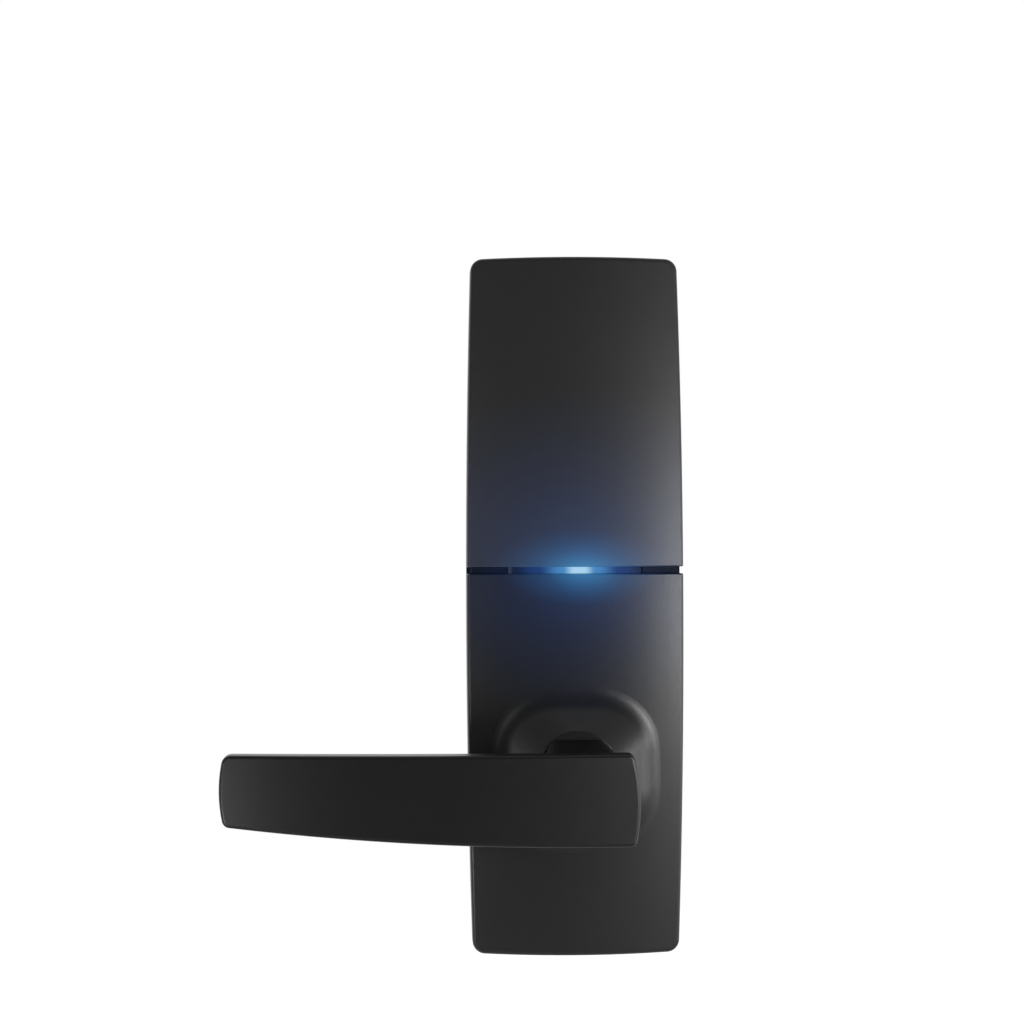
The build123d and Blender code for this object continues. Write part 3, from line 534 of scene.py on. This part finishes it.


# springs: wound wire
def addWire(mesh, path, radius, sides):
    # tube along the path; the first side is carried along, so the skin doesn't twist
    rings = []
    across = None
    for i, spot in enumerate(path):
        ahead = (path[min(i + 1, len(path) - 1)] - path[max(i - 1, 0)]).normalized()
        across = ahead.orthogonal() if across is None else across
        across = (across - ahead * across.dot(ahead)).normalized()
        other = ahead.cross(across)
        ring = []
        for k in range(sides):
            angle = 2 * math.pi * k / sides
            outward = across * math.cos(angle) + other * math.sin(angle)
            ring.append(mesh.verts.new((spot + outward * radius) * mm))
        rings.append(ring)
    joinRings(mesh, rings)
    mesh.faces.new(rings[0])
    mesh.faces.new(rings[-1])


def quarterBend(centre, first, second, count):
    angles = [math.pi / 2 * k / count for k in range(count + 1)]
    return [centre + first * math.cos(a) + second * math.sin(a) for a in angles]


# return spring: two turns round the shaft, a long leg held by the case and a short one pushed by the shaft
returnSpring = {"coilR": 16.4, "wireR": 0.7, "turns": 2, "bendOut": 2.2, "bendIn": 1.5,
                "legOut": 4.5, "legIn": 0.9, "stepsPerTurn": 32, "bendSteps": 6, "sides": 12}


def returnPath(spec, nearY, farY):
    count = spec["turns"] * spec["stepsPerTurn"]
    out, inner, coilR = spec["bendOut"], spec["bendIn"], spec["coilR"]
    path = [Vector((-coilR - out - spec["legOut"], nearY, out))]
    path += quarterBend(Vector((-coilR - out, nearY, 0)), Vector((0, 0, out)), Vector((out, 0, 0)),
                        spec["bendSteps"])
    for k in range(1, count):
        angle = math.pi + 2 * math.pi * k / spec["stepsPerTurn"]
        y = nearY + (farY - nearY) * k / count
        path.append(Vector((coilR * math.cos(angle), y, coilR * math.sin(angle))))
    path += quarterBend(Vector((-coilR + inner, farY, 0)), Vector((-inner, 0, 0)), Vector((0, 0, -inner)),
                        spec["bendSteps"])
    path.append(path[-1] + Vector((spec["legIn"], 0, 0)))
    return path


low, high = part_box("return_spring")
nearY, farY = high.y / mm - returnSpring["wireR"], low.y / mm + returnSpring["wireR"]
mesh = bmesh.new()
addWire(mesh, returnPath(returnSpring, nearY, farY), returnSpring["wireR"], returnSpring["sides"])
piece = asPiece("return_spring_wound", mesh, oiledWire, "return_spring")
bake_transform(piece)

# clutch spring: lifts the pin out of the hub
clutchSpring = {"coilR": 2.45, "wireR": 0.25, "turns": 2.5, "stepsPerTurn": 24, "sides": 10}
low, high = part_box("clutch_spring")
middle = (low + high) / 2 / mm
bottomZ, topZ = low.z / mm + clutchSpring["wireR"], high.z / mm - clutchSpring["wireR"]
count = int(clutchSpring["turns"] * clutchSpring["stepsPerTurn"])
path = []
for k in range(count + 1):
    angle = 2 * math.pi * k / clutchSpring["stepsPerTurn"]
    path.append(Vector((middle.x + clutchSpring["coilR"] * math.cos(angle),
                        middle.y + clutchSpring["coilR"] * math.sin(angle),
                        bottomZ + (topZ - bottomZ) * k / count)))
mesh = bmesh.new()
addWire(mesh, path, clutchSpring["wireR"], clutchSpring["sides"])
piece = asPiece("clutch_spring_wound", mesh, oiledWire, "clutch_spring")
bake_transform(piece)
print("springs wound")


# floor and world
# lift is what the seen floor gains to be white; in mirrors it fades toward the camera, as the room does
floorSpec = {"below": 0.125, "side": 1.3, "colour": "#f4f4f2", "lift": 0.74,
             "dimFrom": -0.12, "whiteFrom": 0.05,
             "grainScale": 60.0, "grainDetail": 2.0, "rough": (0.85, 0.95), "specular": 0.1}
white = (1.0, 1.0, 1.0, 1.0)


def seenRays(tree):
    # 1 for what the camera sees itself, or in a mirror or through glass
    path = addNode(tree, "ShaderNodeLightPath").outputs
    mirrored = addNode(tree, "ShaderNodeMath", {0: path["Is Camera Ray"], 1: path["Is Glossy Ray"]},
                       operation="MAXIMUM")
    return addNode(tree, "ShaderNodeMath", {0: mirrored.outputs[0], 1: path["Is Transmission Ray"]},
                   operation="MAXIMUM").outputs[0]


def makeFloor(spec):
    bpy.ops.mesh.primitive_plane_add(size=spec["side"], location=(0, 0, -spec["below"]))
    floor = bpy.context.object
    floor.name = "paleFloor"
    mat, tree = newMaterial("paintedBoardPale")  # flat white paint, so only the shadow shows on it
    grain = addNode(tree, "ShaderNodeTexNoise",
                    {"Scale": spec["grainScale"], "Detail": spec["grainDetail"]})
    rough = addNode(tree, "ShaderNodeMapRange",
                    {"Value": grain.outputs["Fac"], "To Min": spec["rough"][0], "To Max": spec["rough"][1]})
    paint = addNode(tree, "ShaderNodeBsdfPrincipled",
                    {"Base Color": hexColour(spec["colour"]), "Roughness": rough.outputs[0],
                     "Specular IOR Level": spec["specular"]})
    along = addNode(tree, "ShaderNodeSeparateXYZ",
                    {0: addNode(tree, "ShaderNodeTexCoord").outputs["Object"]}).outputs["Y"]
    depth = addNode(tree, "ShaderNodeMapRange",
                    {"Value": along, "From Min": spec["dimFrom"], "From Max": spec["whiteFrom"],
                     "To Min": 0.0, "To Max": spec["lift"]}).outputs[0]
    camera = addNode(tree, "ShaderNodeLightPath").outputs["Is Camera Ray"]
    direct = addNode(tree, "ShaderNodeMath", {0: camera, 1: spec["lift"]},
                     operation="MULTIPLY").outputs[0]
    level = addNode(tree, "ShaderNodeMath", {0: depth, 1: direct}, operation="MAXIMUM").outputs[0]
    lift = addNode(tree, "ShaderNodeEmission", {"Color": white, "Strength": level})
    both = addNode(tree, "ShaderNodeAddShader", {0: paint.outputs[0], 1: lift.outputs[0]})
    mixed = addNode(tree, "ShaderNodeMixShader",
                    {0: seenRays(tree), 1: paint.outputs[0], 2: both.outputs[0]})
    addNode(tree, "ShaderNodeOutputMaterial", {"Surface": mixed.outputs[0]})
    floor.data.materials.append(mat)


# white backdrop; in mirrors the room behind the camera is dim, so that black faces stay black
# frontFrom and whiteFrom are the Y of the direction looked in: -1 toward the camera, 1 away from it
roomLight = {"level": 0.30, "frontLevel": 0.16, "frontFrom": -0.45, "whiteFrom": 0.15}


def makeWorld(spec):
    world = bpy.data.worlds.new("whiteStudio")
    scene.world = world
    world.use_nodes = True
    tree = world.node_tree
    tree.nodes.clear()
    room = addNode(tree, "ShaderNodeBackground", {"Color": white, "Strength": spec["level"]})
    toward = addNode(tree, "ShaderNodeSeparateXYZ",
                     {0: addNode(tree, "ShaderNodeTexCoord").outputs["Generated"]}).outputs["Y"]
    depth = addNode(tree, "ShaderNodeMapRange",
                    {"Value": toward, "From Min": spec["frontFrom"], "From Max": spec["whiteFrom"],
                     "To Min": spec["frontLevel"], "To Max": 1.0}).outputs[0]
    camera = addNode(tree, "ShaderNodeLightPath").outputs["Is Camera Ray"]
    level = addNode(tree, "ShaderNodeMath", {0: depth, 1: camera}, operation="MAXIMUM").outputs[0]
    seen = addNode(tree, "ShaderNodeBackground", {"Color": white, "Strength": level})
    mixed = addNode(tree, "ShaderNodeMixShader",
                    {0: seenRays(tree), 1: room.outputs[0], 2: seen.outputs[0]})
    addNode(tree, "ShaderNodeOutputWorld", {"Surface": mixed.outputs[0]})


# lamps, each under a note of what it lights; watts, place and aim in metres
lamps = {
    # the light along the right edge of the covers
    "softboxRight": {"at": (0.363, -0.535, 0.046), "aim": (0.03, 0.0, 0.05),
                     "size": (0.14, 0.10), "watts": 1.43},
    # the end of the lever
    "softboxLeft": {"at": (-0.26, -0.25, -0.055), "aim": (-0.10, -0.05, 0.0),
                    "size": (0.07, 0.07), "watts": 0.255},
    # a faint lift at the left edge
    "cardLeft": {"at": (-0.42, -0.70, 0.11), "aim": (-0.03, 0.0, 0.07),
                 "size": (0.12, 0.12), "watts": 0.19},
    # the right flank of the collar
    "fillRight": {"at": (0.542, -0.400, 0.036), "aim": (0.03, 0.0, 0.05),
                  "size": (0.35, 0.10), "watts": 0.92},
    # the right rim
    "stripRight": {"at": (0.66, -0.13, -0.05), "aim": (0.02, -0.02, 0.0),
                   "size": (0.42, 0.30), "watts": 1.27},
    # the left rim
    "stripLeft": {"at": (-0.9, 0.15, 0.1), "aim": (-0.04, 0.0, 0.06),
                  "size": (0.2, 0.4), "watts": 0.38},
}


def makeLamp(name, spec):
    data = bpy.data.lights.new(name, "AREA")
    data.shape = "RECTANGLE"
    data.size, data.size_y = spec["size"]
    data.energy = spec["watts"]
    lamp = bpy.data.objects.new(name, data)
    scene.collection.objects.link(lamp)
    lamp.location = spec["at"]
    toward = Vector(spec["aim"]) - Vector(spec["at"])
    lamp.rotation_euler = toward.to_track_quat("-Z", "Y").to_euler()
    lamp.visible_camera = False


makeFloor(floorSpec)
makeWorld(roomLight)
for name, spec in lamps.items():
    makeLamp(name, spec)
print("floor, world and lamps ready")


# camera, in the place that the plate, lever and groove give
cameraSpec = {"at": (-0.0602, -0.9823, 0.0842), "yaw": -2.28, "pitch": 0.28, "roll": -0.21,
              "focalPixels": 2777.0, "imagePixels": 1024.0, "sensorMm": 36.0}


def makeCamera(spec):
    data = bpy.data.cameras.new("frontCamera")
    data.sensor_width = spec["sensorMm"]
    data.lens = spec["focalPixels"] / spec["imagePixels"] * spec["sensorMm"]
    camera = bpy.data.objects.new("frontCamera", data)
    scene.collection.objects.link(camera)
    yaw, pitch, roll = [math.radians(spec[key]) for key in ("yaw", "pitch", "roll")]
    right = Vector((math.cos(yaw), math.sin(yaw), 0))
    ahead = Vector((-math.sin(yaw) * math.cos(pitch), math.cos(yaw) * math.cos(pitch),
                    math.sin(pitch)))
    up = right.cross(ahead)
    across = right * math.cos(roll) + up * math.sin(roll)
    upward = up * math.cos(roll) - right * math.sin(roll)
    turn = Matrix((across, upward, -ahead)).transposed().to_4x4()
    camera.matrix_world = Matrix.Translation(spec["at"]) @ turn
    scene.camera = camera


makeCamera(cameraSpec)
scene.view_settings.view_transform = "Standard"
